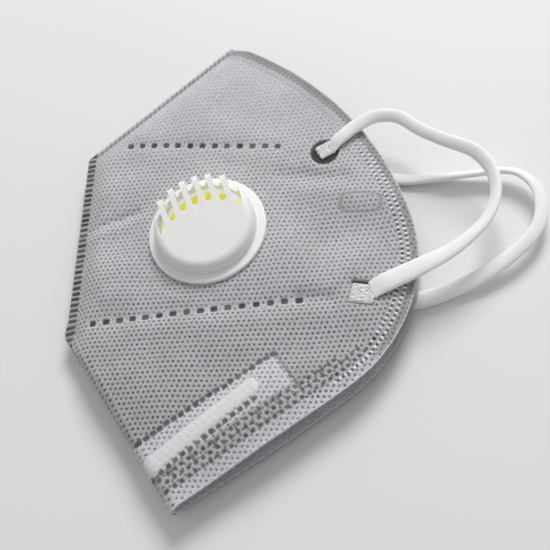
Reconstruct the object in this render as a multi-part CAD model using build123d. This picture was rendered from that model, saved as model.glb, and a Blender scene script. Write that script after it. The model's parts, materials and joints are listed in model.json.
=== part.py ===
"""Vertical fold-flat respirator with an exhalation valve, lying folded on its left half.

Frame, millimetres: the fold plane between the two halves is z = 0 and the valve's axis is x = y = 0.
+X runs from the front seam to the ear side, +Y from the nose to the chin, +Z out of the wearer's
right half. Each half is four layers thick and is split at its two creases into three stiff panels.
"""

import os
from math import atan2, cos, degrees, radians, sin, sqrt, tan

from build123d import *

# Plan of one half: the front seam, the nose fold, the chin seam and the curved face edge.
FRONT_X = -43.5
FRONT_LOW_Y = -32.0
FRONT_HIGH_Y = 34.0
NOSE_FOLD_LENGTH = 64.6
NOSE_FOLD_ANGLE = -55.4
CHIN_SEAM_LENGTH = 62.3
CHIN_SEAM_ANGLE = 40.4
FACE_LOW = (40.6, -54.3)
FACE_HIGH = (61.7, -1.0)

# Seams and creases. The front hinge line is the inner edge of the front seam's weld.
FRONT_SEAM_WIDTH = 2.8
CHIN_SEAM_WIDTH = 2.0
SEAM_THICKNESS = 1.2
NOSE_CREASE_ANGLE = 3.0
CHIN_CREASE_ANGLE = -2.6
PANEL_GAP = 0.5
CHIN_PANEL_GAP = 2.0
CREASE_GAP = 0.15

# Layers of one half, from the wearer's side outwards.
HALF_GAP = 1.5
LAYERS = (
    ("inner_lining", 0.35),
    ("filter_layer", 0.35),
    ("cotton_layer", 0.80),
    ("outer_cover", 0.50),
)
LAYER_CLEARANCE = 0.02
COVER_FACE = HALF_GAP + sum(thickness for _, thickness in LAYERS)

# Nose clip: one strip folded in half over the nose fold.
CLIP_FROM_FRONT = 51.0
CLIP_ANGLE = 37.0
CLIP_LENGTH = 37.0
CLIP_WIDTH = 4.8
CLIP_THICKNESS = 0.8

# Ear loops: a flat elastic band welded to the cover at two places on each half.
CHIN_WELD = (36.5, 25.3)
NOSE_WELD = (46.1, -25.8)
WELD_TO_SWING = 3.7
WELD_LENGTH = 5.0
WELD_WIDTH = 7.0
WELD_THICKNESS = 0.9
BAND_WIDTH = 5.0
BAND_THICKNESS = 1.8
BAND_CLEARANCE = 0.4
RIGHT_LOOP = ((44.5, 30.2), (57.0, 34.6), (67.0, 27.8), (81.9, 17.0), (87.4, 4.5), (80.5, -9.8), (64.5, -20.4))
LEFT_LOOP = ((58.5, 18.6), (74.0, 18.6), (89.8, 16.6), (99.6, 7.0), (96.0, -10.0), (84.0, -18.6), (67.5, -23.0))

# Valve: heights are above the outer cover, and the vent side faces chin and front.
VENT_TURN = 19.5
SEAT_RADIUS = 18.5
SEAT_THICKNESS = 1.2
SLEEVE_RADIUS = 13.3
BORE_RADIUS = 11.5
SEAL_HEIGHT = 1.65
SEAL_WIDTH = 0.7
SPOKE_WIDTH = 1.2
RING_RADIUS = 17.0
RING_THICKNESS = 1.1
RUNNING_GAP = 0.05
DIAPHRAGM_RADIUS = 12.4
DIAPHRAGM_THICKNESS = 0.5
CLAMP_Y = -11.2
CAP_RADIUS = 15.7
CAP_DRAFT = 2.0
CAP_WALL = 1.3
CAP_HEIGHT = 6.6
CAP_TILT = 6.5
CAP_ROUND = 2.8
SLOT_COUNT = 7
SLOT_PITCH = 4.1
SLOT_WIDTH = 2.35
SLOT_END_RADIUS = 16.6
SLOT_END_CENTRE = -11.0
SLOT_SILL = 3.4
FIN_REACH = 16.7
FIN_ROUND = 3.0

FAR = 300.0


def polar(start, length, angle):
    """The point a length away from start, at an angle from +X in degrees."""
    return (start[0] + length * cos(radians(angle)), start[1] + length * sin(radians(angle)))


FRONT_LOW = (FRONT_X, FRONT_LOW_Y)
FRONT_HIGH = (FRONT_X, FRONT_HIGH_Y)
NOSE_TIP = polar(FRONT_LOW, NOSE_FOLD_LENGTH, NOSE_FOLD_ANGLE)
CHIN_TIP = polar(FRONT_HIGH, CHIN_SEAM_LENGTH, CHIN_SEAM_ANGLE)
FRONT_HINGE_X = FRONT_X + FRONT_SEAM_WIDTH

# The two creases leave the front hinge where it meets the nose fold and the chin seam's inner edge.
NOSE_CORNER = (FRONT_HINGE_X, FRONT_LOW_Y + FRONT_SEAM_WIDTH * tan(radians(NOSE_FOLD_ANGLE)))
CHIN_CORNER = (
    FRONT_HINGE_X,
    FRONT_HIGH_Y
    + FRONT_SEAM_WIDTH * tan(radians(CHIN_SEAM_ANGLE))
    - CHIN_SEAM_WIDTH / cos(radians(CHIN_SEAM_ANGLE)),
)


def left_of(point, angle, gap=0.0):
    """A large square on the left of a line through point, starting a gap away from the line."""
    return Pos(*point) * Rot(0, 0, angle) * Pos(0, gap + FAR / 2) * Rectangle(FAR, FAR)


def right_of(point, angle, gap=0.0):
    return left_of(point, angle + 180, gap)


def half_outline():
    """Plan of one half, welds included."""
    nose_fold = Line(FRONT_LOW, NOSE_TIP)
    nose_edge = Line(NOSE_TIP, FACE_LOW)
    ear_edge = TangentArc(FACE_LOW, FACE_HIGH, tangent=nose_edge % 1)
    chin_edge = TangentArc(FACE_HIGH, CHIN_TIP, tangent=ear_edge % 1)
    chin_seam = Line(CHIN_TIP, FRONT_HIGH)
    front_seam = Line(FRONT_HIGH, FRONT_LOW)
    return make_face([nose_fold, nose_edge, ear_edge, chin_edge, chin_seam, front_seam])


def panel_plans():
    """Plans of the nose, centre and chin panels, inside the welds and clear of the creases."""
    inside = (
        half_outline()
        & right_of((FRONT_HINGE_X, 0), 90, PANEL_GAP)
        & right_of(FRONT_HIGH, CHIN_SEAM_ANGLE, CHIN_SEAM_WIDTH + CHIN_PANEL_GAP)
    )
    above_nose = left_of(NOSE_CORNER, NOSE_CREASE_ANGLE, CREASE_GAP)
    below_nose = right_of(NOSE_CORNER, NOSE_CREASE_ANGLE, CREASE_GAP)
    above_chin = left_of(CHIN_CORNER, CHIN_CREASE_ANGLE, CREASE_GAP)
    below_chin = right_of(CHIN_CORNER, CHIN_CREASE_ANGLE, CREASE_GAP)
    return {
        "nose": inside & below_nose,
        "centre": inside & above_nose & below_chin,
        "chin": inside & above_chin,
    }


def slab(plan, low, thickness):
    """A plan extruded upwards from a height."""
    return extrude(Pos(0, 0, low) * plan, amount=thickness, dir=(0, 0, 1))


def both_halves(name, plan, low, thickness):
    """The same slab on the right half and, mirrored in the fold plane, on the left half."""
    return {
        "right_" + name: slab(plan, low, thickness),
        "left_" + name: slab(plan, -low - thickness, thickness),
    }


def fabric_layers():
    """Every layer of every panel. The valve passes through the right centre panel."""
    pieces = {}
    valve_hole = Circle(SLEEVE_RADIUS + 4 * RUNNING_GAP)
    for panel, plan in panel_plans().items():
        low = HALF_GAP
        for layer, thickness in LAYERS:
            name = f"{panel}_{layer}"
            pieces.update(both_halves(name, plan, low, thickness - LAYER_CLEARANCE))
            if panel == "centre":
                pieces["right_" + name] = slab(plan - valve_hole, low, thickness - LAYER_CLEARANCE)
            low += thickness
    return pieces


def seam_welds():
    """The flat welded edges that join the two halves at the front and at the chin."""
    front = half_outline() & left_of((FRONT_HINGE_X, 0), 90)
    chin = (
        half_outline()
        & left_of(FRONT_HIGH, CHIN_SEAM_ANGLE, -CHIN_SEAM_WIDTH)
        & right_of((FRONT_HINGE_X, 0), 90, PANEL_GAP)
        & left_of(CHIN_CORNER, CHIN_CREASE_ANGLE, CREASE_GAP)
    )
    return {
        "front_seam_weld": slab(front, -SEAM_THICKNESS / 2, SEAM_THICKNESS),
        "chin_seam_weld": slab(chin, -SEAM_THICKNESS / 2, SEAM_THICKNESS),
    }


def nose_clip_arms():
    """The clip's two arms, rounded at their free ends, on the outside of the nose panels."""
    fold_point = polar(FRONT_LOW, CLIP_FROM_FRONT, NOSE_FOLD_ANGLE)
    length = CLIP_LENGTH - CLIP_WIDTH / 2
    strip = Pos(length / 2, 0) * Rectangle(length, CLIP_WIDTH) + Pos(length, 0) * Circle(CLIP_WIDTH / 2)
    plan = Pos(*fold_point) * Rot(0, 0, CLIP_ANGLE) * strip
    plan = plan & left_of(FRONT_LOW, NOSE_FOLD_ANGLE)
    return both_halves("nose_clip_arm", plan, COVER_FACE + RUNNING_GAP, CLIP_THICKNESS)


def swing_angle():
    """Direction of the loops' swing axis in plan, from the nose weld to the chin weld."""
    return degrees(atan2(CHIN_WELD[1] - NOSE_WELD[1], CHIN_WELD[0] - NOSE_WELD[0]))


def band(points):
    """Plan of an elastic band along a smooth line from the chin weld to the nose weld."""
    middle = Spline(CHIN_WELD, *points, NOSE_WELD)
    stations = [step / 24 for step in range(25)]
    edges = []
    for side in (-1, 1):
        offsets = [(middle % s).rotate(Axis.Z, 90) * (side * BAND_WIDTH / 2) for s in stations]
        edges.append(Spline(*[middle @ s + offset for s, offset in zip(stations, offsets)]))
    ends = [Line(edges[0] @ end, edges[1] @ end) for end in (0, 1)]
    return make_face(edges + ends)


def ear_loops():
    """The free part of each band, from its swing axis outwards."""
    swing_point = polar(CHIN_WELD, WELD_TO_SWING, swing_angle() - 90)
    free_side = right_of(swing_point, swing_angle())
    low = COVER_FACE + BAND_CLEARANCE
    return {
        "right_ear_loop": slab(band(RIGHT_LOOP) & free_side, low, BAND_THICKNESS),
        "left_ear_loop": slab(band(LEFT_LOOP) & free_side, -low - BAND_THICKNESS, BAND_THICKNESS),
    }


def loop_ends():
    """The bands' pressed and welded ends, two on each half."""
    patch = Rot(0, 0, swing_angle() - 90) * RectangleRounded(WELD_LENGTH, WELD_WIDTH, 1.0)
    plan = Pos(*CHIN_WELD) * patch + Pos(*NOSE_WELD) * patch
    return both_halves("ear_loop_ends", plan, COVER_FACE + RUNNING_GAP, WELD_THICKNESS)


def disc(radius, low, high):
    return Pos(0, 0, low) * Cylinder(radius, high - low, align=(Align.CENTER, Align.CENTER, Align.MIN))


def ring(outer, inner, low, high):
    return disc(outer, low, high) - disc(inner, low - 1, high + 1)


def valve_seat():
    """Flange on the cover, sleeve through the layers, sealing lip and cross spokes in the bore."""
    sleeve_low = HALF_GAP - COVER_FACE - RING_THICKNESS
    flange = disc(SEAT_RADIUS, RUNNING_GAP, SEAT_THICKNESS)
    flange = fillet(flange.edges().group_by(Axis.Z)[-1], 0.5)
    seat = flange + disc(SLEEVE_RADIUS, sleeve_low, SEAT_THICKNESS)
    seat += disc(BORE_RADIUS + SEAL_WIDTH, SEAT_THICKNESS, SEAL_HEIGHT)
    seat -= disc(BORE_RADIUS, sleeve_low - 1, SEAL_HEIGHT + 1)
    spoke = Pos(0, 0, SEAT_THICKNESS / 2) * Box(2 * BORE_RADIUS + 1, SPOKE_WIDTH, SEAT_THICKNESS - 0.4)
    return seat + spoke + Rot(0, 0, 90) * spoke + disc(2, 0.2, SEAT_THICKNESS - 0.2)


def valve_retaining_ring():
    """Ring pressed on the sleeve from the wearer's side."""
    high = HALF_GAP - COVER_FACE - RUNNING_GAP
    return ring(RING_RADIUS, SLEEVE_RADIUS + RUNNING_GAP, high - RING_THICKNESS, high)


def valve_diaphragm():
    """Thin flap on the sealing lip, straight along its clamped edge."""
    low = SEAL_HEIGHT + 0.02
    flap = disc(DIAPHRAGM_RADIUS, low, low + DIAPHRAGM_THICKNESS)
    return flap & (Pos(0, CLAMP_Y + FAR / 2, 0) * Box(FAR, FAR, FAR))


def cap_top(height):
    """The cap's tilted top plane at a height above the middle of the valve."""
    tilt = radians(CAP_TILT)
    return Plane((0, 0, height), z_dir=(0, -sin(tilt), cos(tilt)))


def cap_shell(radius, height, rounding):
    """A drafted round block under a tilted top, rounded along the top edge."""
    block = extrude(Pos(0, 0, SEAT_THICKNESS + 0.02) * Circle(radius), amount=3 * height, taper=CAP_DRAFT)
    block = split(block, bisect_by=cap_top(height), keep=Keep.BOTTOM)
    return fillet(block.faces().sort_by(Axis.Z)[-1].edges(), rounding)


def vent_end(x):
    """Where the vents end towards the middle of the cap, on an arc."""
    return SLOT_END_CENTRE + sqrt(SLOT_END_RADIUS**2 - x**2)


def vent_slot(x):
    """One vent, open through the top and the side of the cap, round at its inner end."""
    centre = vent_end(x) + SLOT_WIDTH / 2
    plan = Circle(SLOT_WIDTH / 2) + Pos(0, FAR / 2) * Rectangle(SLOT_WIDTH, FAR)
    return extrude(Pos(x, centre, SLOT_SILL) * plan, amount=FAR)


def vent_fin(x):
    """One bar between two vents, flush with the top and reaching past the cap's side."""
    low = vent_end(x) - 1
    high = sqrt(FIN_REACH**2 - x**2)
    bar = Pos(x, (low + high) / 2, SEAT_THICKNESS + 0.02) * Box(
        SLOT_PITCH - SLOT_WIDTH, high - low, 3 * CAP_HEIGHT, align=(Align.CENTER, Align.CENTER, Align.MIN)
    )
    bar = split(bar, bisect_by=cap_top(CAP_HEIGHT + RUNNING_GAP), keep=Keep.BOTTOM)
    outer_top = bar.faces().sort_by(Axis.Y)[-1].edges().sort_by(Axis.Z)[-1]
    return fillet(outer_top, FIN_ROUND)


def valve_cap():
    """Rounded cover of the valve with a comb of vents on one side."""
    first_slot = -(SLOT_COUNT - 1) / 2 * SLOT_PITCH
    cavity = cap_shell(CAP_RADIUS - CAP_WALL, CAP_HEIGHT - CAP_WALL, CAP_ROUND - CAP_WALL / 2)
    cap = cap_shell(CAP_RADIUS, CAP_HEIGHT, CAP_ROUND) - cavity
    for index in range(SLOT_COUNT):
        cap -= vent_slot(first_slot + index * SLOT_PITCH)
    for index in range(SLOT_COUNT - 1):
        cap += vent_fin(first_slot + (index + 0.5) * SLOT_PITCH) - cavity
    return cap


def valve():
    place = Pos(0, 0, COVER_FACE) * Rot(0, 0, VENT_TURN)
    return {
        "valve_seat": place * valve_seat(),
        "valve_retaining_ring": place * valve_retaining_ring(),
        "valve_diaphragm": place * valve_diaphragm(),
        "valve_cap": place * valve_cap(),
    }


def mask():
    return {
        **fabric_layers(),
        **seam_welds(),
        **nose_clip_arms(),
        **ear_loops(),
        **loop_ends(),
        **valve(),
    }


os.makedirs("parts", exist_ok=True)
for node, solid in mask().items():
    export_step(solid, f"parts/{node}.step")
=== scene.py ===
"""Looks of a valved fold-flat respirator, lying folded on a pale table.

The outline, creases, seams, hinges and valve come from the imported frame. Every soft layer is a thin closed
sheet over the plan of its panel: its outer face follows one height field, and each layer lies at its own
depth below that face. Puckers from a cloth simulation are part of that field. All plan geometry is in
millimetres and becomes metres when a mesh is made.
"""

import json
import math

import bpy
import numpy as np
from mathutils import Matrix, Vector
from mathutils.geometry import convex_hull_2d, delaunay_2d_cdt


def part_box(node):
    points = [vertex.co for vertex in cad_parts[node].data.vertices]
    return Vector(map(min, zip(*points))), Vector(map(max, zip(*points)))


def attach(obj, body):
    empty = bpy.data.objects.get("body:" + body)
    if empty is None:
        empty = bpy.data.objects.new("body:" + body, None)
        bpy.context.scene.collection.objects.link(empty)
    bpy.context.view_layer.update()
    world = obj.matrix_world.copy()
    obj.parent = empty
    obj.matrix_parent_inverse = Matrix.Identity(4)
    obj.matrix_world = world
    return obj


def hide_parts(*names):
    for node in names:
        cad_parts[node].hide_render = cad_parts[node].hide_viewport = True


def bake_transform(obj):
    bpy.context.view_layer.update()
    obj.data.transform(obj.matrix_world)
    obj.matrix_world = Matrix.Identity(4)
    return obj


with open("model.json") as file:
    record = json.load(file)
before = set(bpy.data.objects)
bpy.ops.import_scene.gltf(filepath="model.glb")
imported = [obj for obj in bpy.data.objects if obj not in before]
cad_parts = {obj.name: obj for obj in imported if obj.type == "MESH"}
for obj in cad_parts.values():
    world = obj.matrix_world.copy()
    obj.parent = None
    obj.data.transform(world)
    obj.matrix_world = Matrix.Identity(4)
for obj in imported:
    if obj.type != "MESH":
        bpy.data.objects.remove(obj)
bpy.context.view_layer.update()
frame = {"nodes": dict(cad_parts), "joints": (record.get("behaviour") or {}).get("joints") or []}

MM = 0.001
RIGHT, LEFT = 1, -1
SIDE_NAMES = {RIGHT: "right", LEFT: "left"}
JOINTS = {joint["name"]: joint for joint in frame["joints"]}

# Heights of the folded stack, outwards from the fold plane.
COVER_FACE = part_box("right_centre_outer_cover")[1].z / MM
COVER_THICKNESS = 0.44
COTTON_DEPTH = 0.74
LINING_THICKNESS = 0.32
FILTER_THICKNESS = 0.34
LAYER_GAP = 0.02
STACK_THICKNESS = 1.96
SEAM_STACK = 0.62
EDGE_STACK = 0.85
FOLD_STACK = 0.9
FOLD_REACH = 5.0
TABLE_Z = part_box("left_ear_loop")[0].z / MM

# Shape of the soft body.
SEAM_RISE = 7.0
FOLD_ROLL = 3.4
EDGE_PINCH = 0.55
EDGE_WELD = 5.2
BELLY_SAG = 1.6
BELLY_ZONE = (17.0, 32.0)
BELLY_PRESS = 0.25
NOSE_EDGE_LIFT = {RIGHT: 0.6, LEFT: 0.5}
RELIEF_SHARE = {RIGHT: 1.0, LEFT: 0.3}
NOSE_EDGE_FLARE = 0.7
LIP_START, LIP_END, LIP_WIDTH = (2.0, 34.0), (52.0, 92.0), 17.0

# Spunbond bonding points: two steps from one point to its neighbours.
DOT_STEPS = np.array(((1.54, -0.04), (-0.59, -1.475)))
DOT_RADIUS = 0.45
DOT_DEPTH = 0.16
FINE_DIVISIONS = {RIGHT: 5, LEFT: 4}
EDGE_STEP = 0.45
COARSE_STEP = 1.6
LINING_STEP = 1.0


def smooth(t):
    t = np.clip(t, 0.0, 1.0)
    return t * t * (3 - 2 * t)


def ramp(x, low, high):
    """0 below low, 1 above high, smooth between them."""
    return smooth((x - low) / (high - low))


def bell(x, width):
    return np.exp(-((x / width) ** 2))


def unit(v):
    v = np.asarray(v, float)
    return v / np.linalg.norm(v)


def turned(v):
    """v turned a quarter anticlockwise."""
    return np.array((-v[1], v[0]))


def cross(a, b):
    return a[..., 0] * b[..., 1] - a[..., 1] * b[..., 0]


def lengths(path):
    """Distance along a path to each of its points."""
    steps = np.linalg.norm(np.diff(path, axis=0), axis=1)
    return np.concatenate(([0.0], np.cumsum(steps)))


def resampled(path, step):
    """The same path with even steps of about the given length."""
    path = np.asarray(path, float)
    along = lengths(path)
    count = max(2, int(round(along[-1] / step)) + 1)
    at = np.linspace(0, along[-1], count)
    return np.column_stack([np.interp(at, along, path[:, k]) for k in range(path.shape[1])])


def relaxed(path, rounds):
    """The path with its small corners rounded away; its ends stay."""
    path = path.copy()
    for _ in range(rounds):
        path[1:-1] = (path[:-2] + 2 * path[1:-1] + path[2:]) / 4
    return path


def grid_quads(rows, columns):
    """Point numbers of a grid and its four-cornered faces."""
    ids = np.arange(rows * columns).reshape(rows, columns)
    return ids, np.stack([ids[:-1, :-1], ids[:-1, 1:], ids[1:, 1:], ids[1:, :-1]], axis=-1).reshape(-1, 4)


def spline(points, step):
    """A smooth path through the points, in even steps."""
    points = np.asarray(points, float)
    padded = np.vstack([2 * points[0] - points[1], points, 2 * points[-1] - points[-2]])
    t = np.linspace(0, 1, 24, endpoint=False)[:, None]
    parts = []
    for a, b, c, d in zip(padded, padded[1:], padded[2:], padded[3:]):
        parts.append(b + 0.5 * t * (c - a + t * (2 * a - 5 * b + 4 * c - d + t * (3 * (b - c) + d - a))))
    parts.append(points[-1:])
    return resampled(np.vstack(parts), step)


# ---------------------------------------------------------------- plan of one half, from the frame


def node_points(*names):
    """Plan coordinates of the vertices of some CAD nodes."""
    found = [[v.co.x, v.co.y] for name in names for v in frame["nodes"][name].data.vertices]
    return np.array(found) / MM


def plan_hull():
    panels = ["right_nose_outer_cover", "right_centre_outer_cover", "right_chin_outer_cover"]
    points = node_points(*panels, "front_seam_weld", "chin_seam_weld")
    hull = points[convex_hull_2d([Vector(p) for p in points.tolist()])]
    area = np.sum(cross(hull, np.roll(hull, -1, axis=0)))
    return hull if area > 0 else hull[::-1]


HULL = plan_hull()
NOSE_TIP = HULL[HULL[:, 1].argmin()]
CHIN_TIP = HULL[HULL[:, 1].argmax()]
FRONT_X = HULL[:, 0].min()
FRONT_SIDE = HULL[HULL[:, 0] < FRONT_X + 0.05]
FRONT_LOW = FRONT_SIDE[FRONT_SIDE[:, 1].argmin()]
FRONT_HIGH = FRONT_SIDE[FRONT_SIDE[:, 1].argmax()]


def face_edge_path():
    """The free edge against the face, from the nose tip to the chin tip."""
    ordered = np.roll(HULL, -int(HULL[:, 1].argmin()), axis=0)
    last = int(ordered[:, 1].argmax())
    return relaxed(resampled(ordered[: last + 1], 1.0), 14)


FACE_EDGE = face_edge_path()
FACE_ALONG = lengths(FACE_EDGE)
FACE_LENGTH = FACE_ALONG[-1]
NOSE_DIRECTION = unit(NOSE_TIP - FRONT_LOW)
CHIN_DIRECTION = unit(FRONT_HIGH - CHIN_TIP)
NOSE_EDGE_DIRECTION = unit(FACE_EDGE[20] - FACE_EDGE[4])
NOSE_EDGE_LENGTH = 62.0


def hinge_of(joint):
    """Plan point and +X direction of a joint's axis."""
    axis = unit(JOINTS[joint]["axis"][:2])
    return np.array(JOINTS[joint]["pos_m"][:2]) / MM, axis if axis[0] > 0 else -axis


NOSE_CORNER, NOSE_CREASE = hinge_of("right_nose_fold")
CHIN_CORNER, CHIN_CREASE = hinge_of("right_chin_fold")
HINGE_X = JOINTS["front_fold"]["pos_m"][0] / MM
CREASE_HALF = 4.0
CREASE_SPREAD = 0.1
PAST_EDGE = 140.0
CHIN_SEAM_WIDTH = cross(CHIN_DIRECTION, CHIN_CORNER - CHIN_TIP)
SEAM_TOP = FRONT_HIGH + CHIN_DIRECTION * ((HINGE_X - FRONT_X) / CHIN_DIRECTION[0])


def nose_distance(p):
    return cross(NOSE_DIRECTION, p - FRONT_LOW)


def chin_distance(p):
    return cross(CHIN_DIRECTION, p - CHIN_TIP)


def front_distance(p):
    return p[:, 0] - FRONT_X


GRID_STEP = 0.6


def face_grid():
    """Distance to the face edge and place along it, sampled on a grid over the plan."""
    low, high = HULL.min(0) - 6, HULL.max(0) + 6
    xs = np.arange(low[0], high[0], GRID_STEP)
    ys = np.arange(low[1], high[1], GRID_STEP)
    away = np.full((len(ys), len(xs)), 1e9)
    along = np.zeros_like(away)
    grid = np.stack(np.meshgrid(xs, ys), axis=-1)
    for a, b, start in zip(FACE_EDGE, FACE_EDGE[1:], FACE_ALONG):
        step = b - a
        t = np.clip(((grid - a) @ step) / (step @ step), 0, 1)
        offset = grid - a - t[..., None] * step
        distance = np.hypot(offset[..., 0], offset[..., 1])
        signed = np.where(cross(step, grid - a) >= 0, distance, -distance)
        nearer = distance < np.abs(away)
        away = np.where(nearer, signed, away)
        along = np.where(nearer, start + t * np.linalg.norm(step), along)
    return low, away, along


GRID_LOW, GRID_AWAY, GRID_PLACE = face_grid()


def on_grid(values, p, step=GRID_STEP):
    """Bilinear value of a grid at plan points."""
    at = (p - GRID_LOW) / step
    rows, columns = values.shape
    x = np.clip(at[:, 0], 0, columns - 1.001)
    y = np.clip(at[:, 1], 0, rows - 1.001)
    i, j = x.astype(int), y.astype(int)
    u, v = x - i, y - j
    low = values[j, i] * (1 - u) + values[j, i + 1] * u
    high = values[j + 1, i] * (1 - u) + values[j + 1, i + 1] * u
    return low * (1 - v) + high * v


def face_distance(p):
    return on_grid(GRID_AWAY, p)


def face_place(p):
    return on_grid(GRID_PLACE, p)


# ---------------------------------------------------------------- the soft body's height field

VALVE_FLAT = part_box("valve_seat")[1].x / MM + 0.4
VALVE_BLEND = 6.5
VALVE_HOLE = 13.35
FLANGE_GAP = 0.02
WELD_FLAT = (5.0, 9.0)
ROW_SINK = (0.4, 2.6)
CHIN_WELD = np.array((36.5, 25.3))
NOSE_WELD = np.array((46.1, -25.8))
CHIN_ROW = np.array(((-28.3, 35.9), (21.2, 29.3)))
NOSE_ROW = np.array(((-34.4, -28.3), (28.0, -25.5)))

# Soft ridges and valleys: start, end, width, height.
FOLDS = (
    ((-43.0, 3.4), (-24.0, 10.0), 1.4, -0.75),
    ((-43.0, 0.0), (-22.0, 6.5), 2.6, 0.65),
    ((-40.0, 17.0), (-20.0, 21.0), 6.0, 0.4),
    ((22.0, 18.5), (42.0, 14.5), 2.6, -0.75),
    ((30.0, 11.0), (58.0, 4.0), 4.5, 0.55),
    ((28.0, -24.6), (40.0, -26.5), 2.4, -1.0),
    ((22.0, -14.0), (48.0, -14.0), 6.0, 0.45),
    ((52.0, -6.0), (60.0, -14.0), 4.0, -0.4),
    ((-30.0, -20.0), (-5.0, -21.5), 3.0, 0.35),
    ((-20.0, -32.0), (34.0, -31.5), 3.4, 0.5),
    ((12.0, -43.0), (44.0, -40.0), 4.5, -0.7),
    ((28.0, -52.0), (46.0, -42.0), 3.5, -0.45),
    ((-30.0, -46.0), (-12.0, -58.0), 7.0, 0.5),
    ((0.0, 52.0), (18.0, 44.0), 9.0, 0.8),
    ((38.0, 20.0), (54.0, 8.0), 5.0, 0.3),
)


def segment_distance(p, start, end):
    start, end = np.array(start), np.array(end)
    step = end - start
    t = np.clip(((p - start) @ step) / (step @ step), 0, 1)
    offset = p - start - t[:, None] * step
    return np.hypot(offset[:, 0], offset[:, 1])


def seam_rise(p):
    """0 on the front and chin seams, 1 in the body."""
    front = np.clip((front_distance(p) - (HINGE_X - FRONT_X)) / SEAM_RISE, 0, 1)
    chin = np.clip((chin_distance(p) - CHIN_SEAM_WIDTH) / SEAM_RISE, 0, 1)
    return np.sin(front * math.pi / 2) * np.sin(chin * math.pi / 2)


def nose_edge_share(p):
    """1 at the middle of the nose edge's free lip, 0 at its ends and away from it."""
    place = face_place(p)
    along = ramp(place, *LIP_START) * (1 - ramp(place, *LIP_END))
    return along * bell(np.maximum(face_distance(p), 0), LIP_WIDTH)


def waves(p):
    """Slow unevenness of a soft stack, in millimetres."""
    x, y = p[:, 0], p[:, 1]
    return (
        0.22 * np.sin(x / 11.0 + 0.6) * np.cos(y / 9.0)
        + 0.13 * np.sin((x + 1.7 * y) / 8.3 + 1.1)
        + 0.09 * np.sin((1.3 * x - y) / 5.1)
    )


def body_height(side, p):
    """Height of the outer face above the fold plane, before seams and the nose fold pull it in."""
    face = np.maximum(face_distance(p), 0)
    height = COVER_FACE + waves(p * (1, side)) - EDGE_PINCH * (1 - ramp(face, 1.0, EDGE_WELD))
    height += NOSE_EDGE_LIFT[side] * nose_edge_share(p)
    height += RELIEF_SHARE[side] * on_grid(RELIEF, p, RELIEF_STEP)
    if side == LEFT:
        return height + BELLY_SAG * ramp(face, *BELLY_ZONE) - BELLY_PRESS
    for start, end, width, rise in FOLDS:
        height += rise * bell(segment_distance(p, start, end), width)
    for row in (CHIN_ROW, NOSE_ROW):
        height -= ROW_SINK[0] * bell(segment_distance(p, *row), ROW_SINK[1])
    return height


def height_of(side, p):
    height = SEAM_STACK + (body_height(side, p) - SEAM_STACK) * seam_rise(p)
    if side == RIGHT:
        flat = 1 - ramp(np.hypot(p[:, 0], p[:, 1]), VALVE_FLAT, VALVE_FLAT + VALVE_BLEND)
        height += (COVER_FACE - FLANGE_GAP - height) * flat
    for weld in (CHIN_WELD, NOSE_WELD):
        flat = 1 - ramp(np.hypot(*(p - weld).T), *WELD_FLAT)
        height += (COVER_FACE - height) * flat
    return height


def outer_face(side, p):
    """Points of the smooth outer face over plan points: it rolls to the fold plane at the nose fold."""
    reach = np.maximum(nose_distance(p), 0)
    turn = np.clip(reach / FOLD_ROLL, 0, 1) * math.pi / 2
    shift = np.where(reach < FOLD_ROLL, FOLD_ROLL * (1 - np.cos(turn)) - reach, 0)
    plan = p + shift[:, None] * turned(NOSE_DIRECTION)
    if side == LEFT:
        plan = plan - (NOSE_EDGE_FLARE * nose_edge_share(p))[:, None] * turned(NOSE_EDGE_DIRECTION)
    return np.column_stack([plan, side * height_of(side, p) * np.sin(turn)])


def outward(side, p):
    """Outer face's points and its outward unit normals."""
    near = 0.05
    here = outer_face(side, p)
    across = outer_face(side, p + (near, 0)) - here
    up = outer_face(side, p + (0, near)) - here
    normal = np.cross(across, up) * side
    return here, normal / np.linalg.norm(normal, axis=1)[:, None]


def stack_thickness(p):
    """Thickness of all four layers: thin where they are welded or sharply folded."""
    face = ramp(np.maximum(face_distance(p), 0), 0.8, EDGE_WELD)
    edge = EDGE_STACK + (STACK_THICKNESS - EDGE_STACK) * face
    fold = FOLD_STACK + (STACK_THICKNESS - FOLD_STACK) * ramp(nose_distance(p), 0, FOLD_REACH)
    body = np.minimum(edge, fold)
    return SEAM_STACK + (body - SEAM_STACK) * seam_rise(p)


# ---------------------------------------------------------------- embossing of the outer cover


def stamps(p, centres, direction, half_size, edge=0.3, uneven=0.1):
    """Mask of rounded oblong marks at the centres, long side along direction, each a little different."""
    mask = np.zeros(len(p))
    directions = np.broadcast_to(direction, (len(centres), 2))
    chance = np.random.default_rng(len(centres))
    shifts = chance.normal(0, 1.2 * uneven * min(half_size), (len(centres), 2))
    scales = 1 + chance.uniform(-uneven, uneven, (len(centres), 2))
    depths = 1 - chance.uniform(0, 2.5 * uneven, len(centres))
    reach = max(half_size) + edge
    for centre, along, scale, depth in zip(centres + shifts, directions, scales, depths):
        near = np.flatnonzero(np.abs(p - centre).max(axis=1) < reach * 1.5)
        offset = p[near] - centre
        u = np.abs(offset @ along) / (half_size[0] * scale[0])
        v = np.abs(offset @ turned(along)) / (half_size[1] * scale[1])
        size = (u**4 + v**4) ** 0.25
        value = 1 - ramp(size, 1 - edge / half_size[1] / 2, 1 + edge / half_size[1] / 2)
        mask[near] = np.maximum(mask[near], value * depth)
    return mask


def row(start, end, count):
    return np.linspace(start, end, count), unit(np.subtract(end, start))


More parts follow.
